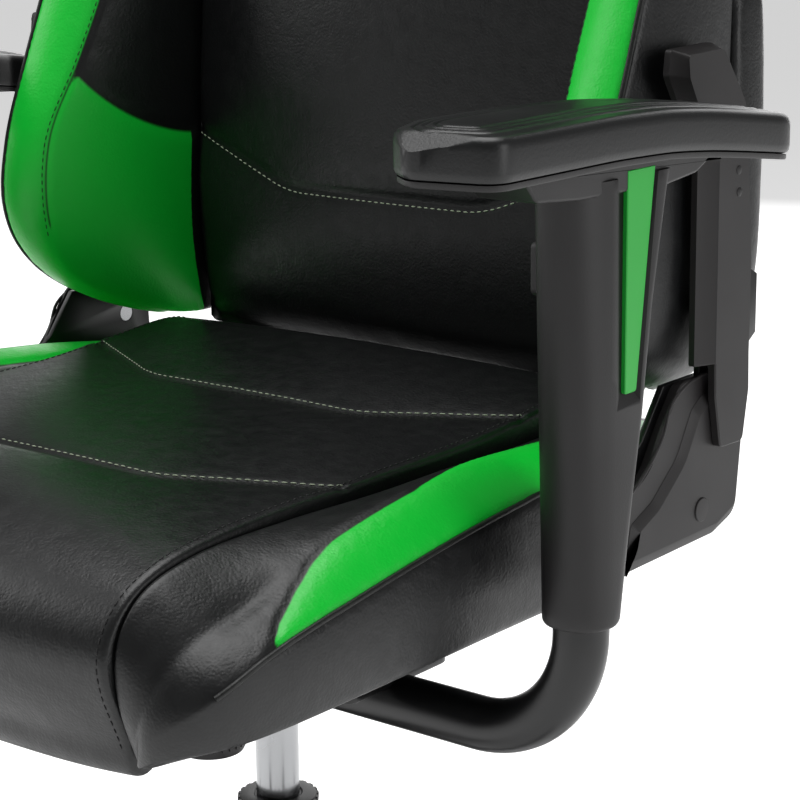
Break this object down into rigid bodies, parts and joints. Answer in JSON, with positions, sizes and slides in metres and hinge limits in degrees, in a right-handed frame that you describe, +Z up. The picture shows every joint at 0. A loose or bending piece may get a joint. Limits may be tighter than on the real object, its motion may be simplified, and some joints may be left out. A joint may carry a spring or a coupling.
{
  "type": "gaming chair",
  "caption": "Racing-style bucket seat on a swivelling gas-lift base with casters, reclining backrest and height-adjustable armrests.",
  "frame": {"origin": "on the floor, under the middle of the chair's bounding box", "axes": "+Z up, the sitter faces -Y, +X towards the sitter's left hand"},
  "size_m": [0.6576, 0.6648, 1.33],
  "materials": {
    "base_nylon": "glass-filled nylon, fine moulded texture",
    "caster_tread": "dark polyurethane wheels",
    "black_steel": "black powder coat, semi-gloss",
    "moulded_plastic": "injection-moulded, satin",
    "cover_plastic": "injection-moulded, fine matt grain",
    "chromed_steel": "ground and chromed",
    "black_leather": "coated fabric leather, fine pebble grain",
    "green_leather": "coated fabric leather, bright green, fine pebble grain",
    "green_plastic": "moulded green insert, satin",
    "pad_skin": "soft integral-skin foam"
  },
  "bodies": {
    "base": {"star_base": "base_nylon", "gas_cylinder": "black_steel", "cylinder_cap": "moulded_plastic"},
    "caster_1": {"caster_hood_1": "base_nylon"},
    "wheels_1": {"caster_wheels_1": "caster_tread"},
    "caster_2": {"caster_hood_2": "base_nylon"},
    "wheels_2": {"caster_wheels_2": "caster_tread"},
    "caster_3": {"caster_hood_3": "base_nylon"},
    "wheels_3": {"caster_wheels_3": "caster_tread"},
    "caster_4": {"caster_hood_4": "base_nylon"},
    "wheels_4": {"caster_wheels_4": "caster_tread"},
    "caster_5": {"caster_hood_5": "base_nylon"},
    "wheels_5": {"caster_wheels_5": "caster_tread"},
    "lift": {"lift_rod": "chromed_steel"},
    "mechanism": {"tilt_housing": "black_steel"},
    "lift_lever": {"lift_lever": "moulded_plastic"},
    "tension_knob": {"tension_knob": "moulded_plastic"},
    "seat": {"seat_plate": "black_steel", "tilt_pin": "chromed_steel", "seat_board": "black_steel", "seat_frame": "black_steel", "seat_cushion": "black_leather", "seat_bolster_left": "green_leather", "seat_bolster_right": "green_leather", "recliner_seat_plate_left": "black_steel", "recliner_seat_plate_right": "black_steel", "recliner_cross_tube": "black_steel", "recline_pin_left": "chromed_steel", "recline_pin_right": "chromed_steel", "hinge_cover_left": "cover_plastic", "hinge_cover_right": "cover_plastic", "hinge_screw_cap": "cover_plastic", "arm_tube_left": "black_steel", "arm_tube_right": "black_steel"},
    "recline_lever": {"recline_lever": "moulded_plastic"},
    "backrest": {"back_frame": "black_steel", "recliner_back_plate_left": "black_steel", "recliner_back_plate_right": "black_steel", "recline_arm_cover_left": "cover_plastic", "recline_arm_cover_right": "cover_plastic", "back_cushion": "black_leather", "back_bolster_left": "green_leather", "back_bolster_right": "green_leather", "head_cushion": "black_leather", "back_cover": "black_leather", "harness_bezel_left": "moulded_plastic", "harness_bezel_right": "moulded_plastic"},
    "armrest_left": {"arm_sleeve_left": "moulded_plastic", "arm_insert_left": "green_plastic", "pad_plate_left": "moulded_plastic", "arm_pad_left": "pad_skin"},
    "arm_button_left": {"arm_button_left": "moulded_plastic"},
    "armrest_right": {"arm_sleeve_right": "moulded_plastic", "arm_insert_right": "green_plastic", "pad_plate_right": "moulded_plastic", "arm_pad_right": "pad_skin"},
    "arm_button_right": {"arm_button_right": "moulded_plastic"}
  },
  "joints": [
    {"name": "caster_swivel_1", "type": "hinge", "parent": "base", "child": "caster_1", "pos_m": [0, -0.2708, 0.08], "axis": [0, 0, 1], "continuous": true},
    {"name": "wheel_roll_1", "type": "hinge", "parent": "caster_1", "child": "wheels_1", "pos_m": [-0.00824, -0.2912, 0.03], "axis": [-0.9272, 0.3746, 0], "continuous": true},
    {"name": "caster_swivel_2", "type": "hinge", "parent": "base", "child": "caster_2", "pos_m": [0.30053, -0.05245, 0.08], "axis": [0, 0, 1], "continuous": true},
    {"name": "wheel_roll_2", "type": "hinge", "parent": "caster_2", "child": "wheels_2", "pos_m": [0.28368, -0.06659, 0.03], "axis": [-0.6428, 0.766, 0], "continuous": true},
    {"name": "caster_swivel_3", "type": "hinge", "parent": "base", "child": "caster_3", "pos_m": [0.18574, 0.30085, 0.08], "axis": [0, 0, 1], "continuous": true},
    {"name": "wheel_roll_3", "type": "hinge", "parent": "caster_3", "child": "wheels_3", "pos_m": [0.20479, 0.28985, 0.03], "axis": [-0.5, -0.866, 0], "continuous": true},
    {"name": "caster_swivel_4", "type": "hinge", "parent": "base", "child": "caster_4", "pos_m": [-0.18574, 0.30085, 0.08], "axis": [0, 0, 1], "continuous": true},
    {"name": "wheel_roll_4", "type": "hinge", "parent": "caster_4", "child": "wheels_4", "pos_m": [-0.20479, 0.28985, 0.03], "axis": [-0.5, 0.866, 0], "continuous": true},
    {"name": "caster_swivel_5", "type": "hinge", "parent": "base", "child": "caster_5", "pos_m": [-0.30053, -0.05245, 0.08], "axis": [0, 0, 1], "continuous": true},
    {"name": "wheel_roll_5", "type": "hinge", "parent": "caster_5", "child": "wheels_5", "pos_m": [-0.28368, -0.06659, 0.03], "axis": [-0.6428, -0.766, 0], "continuous": true},
    {"name": "seat_height", "type": "slide", "parent": "base", "child": "lift", "axis": [0, 0, 1], "range_m": [-0.07, 0]},
    {"name": "seat_swivel", "type": "hinge", "parent": "lift", "child": "mechanism", "pos_m": [0, 0.0452, 0.36], "axis": [0, 0, 1], "continuous": true},
    {"name": "lift_lever_pull", "type": "hinge", "parent": "mechanism", "child": "lift_lever", "pos_m": [-0.05, 0.0852, 0.38], "axis": [0, 1, 0], "range_deg": [0, 4], "stiffness_Nm_per_rad": 6, "springref_deg": -6.88},
    {"name": "tension_knob_turn", "type": "hinge", "parent": "mechanism", "child": "tension_knob", "pos_m": [0, -0.0168, 0.35], "axis": [0, 0, 1], "continuous": true},
    {"name": "seat_tilt", "type": "hinge", "parent": "mechanism", "child": "seat", "pos_m": [0, 0.0152, 0.392], "axis": [-1, 0, 0], "range_deg": [0, 12], "stiffness_Nm_per_rad": 160, "springref_deg": -14.32},
    {"name": "recline", "type": "hinge", "parent": "seat", "child": "backrest", "pos_m": [0, 0.1632, 0.548], "axis": [-1, 0, 0], "range_deg": [0, 60]},
    {"name": "recline_lever_pull", "type": "hinge", "parent": "seat", "child": "recline_lever", "pos_m": [-0.262, 0.1232, 0.512], "axis": [-1, 0, 0], "range_deg": [0, 22], "stiffness_Nm_per_rad": 1.5, "springref_deg": -17.19},
    {"name": "armrest_height_left", "type": "slide", "parent": "seat", "child": "armrest_left", "axis": [0, 0, 1], "range_m": [0, 0.07]},
    {"name": "arm_button_press_left", "type": "slide", "parent": "armrest_left", "child": "arm_button_left", "axis": [1, 0, 0], "range_m": [0, 0.003], "stiffness_N_per_m": 600, "springref_m": -0.004},
    {"name": "armrest_height_right", "type": "slide", "parent": "seat", "child": "armrest_right", "axis": [0, 0, 1], "range_m": [0, 0.07]},
    {"name": "arm_button_press_right", "type": "slide", "parent": "armrest_right", "child": "arm_button_right", "axis": [-1, 0, 0], "range_m": [0, 0.003], "stiffness_N_per_m": 600, "springref_m": -0.004}
  ]
}
